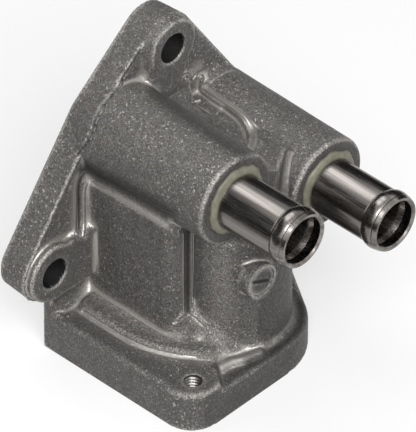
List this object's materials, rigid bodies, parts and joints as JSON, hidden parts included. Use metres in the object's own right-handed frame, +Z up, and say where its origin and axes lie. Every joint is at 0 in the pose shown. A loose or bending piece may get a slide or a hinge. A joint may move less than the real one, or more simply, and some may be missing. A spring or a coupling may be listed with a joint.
{
  "type": "coolant water outlet",
  "caption": "Cast coolant outlet housing with a lugged engine flange, a foot flange with a round port, and parallel beaded hose pipes pressed into round bosses.",
  "frame": {"origin": "centre of the port in the underside, on that machined face", "axes": "+Z up from the underside face, +X the way the hose pipes point, away from the engine face, +Y along the engine face"},
  "size_m": [0.0767, 0.0974, 0.0893],
  "materials": {
    "cast_aluminium": "rough cast, shot blasted",
    "pipe_steel": "drawn and polished along its length",
    "sealant": "cured, slightly glossy"
  },
  "bodies": {
    "root": {"housing": "cast_aluminium", "hose_pipe_upper": "pipe_steel", "hose_pipe_lower": "pipe_steel", "sealant_ring_upper": "sealant", "sealant_ring_lower": "sealant"}
  },
  "joints": []
}
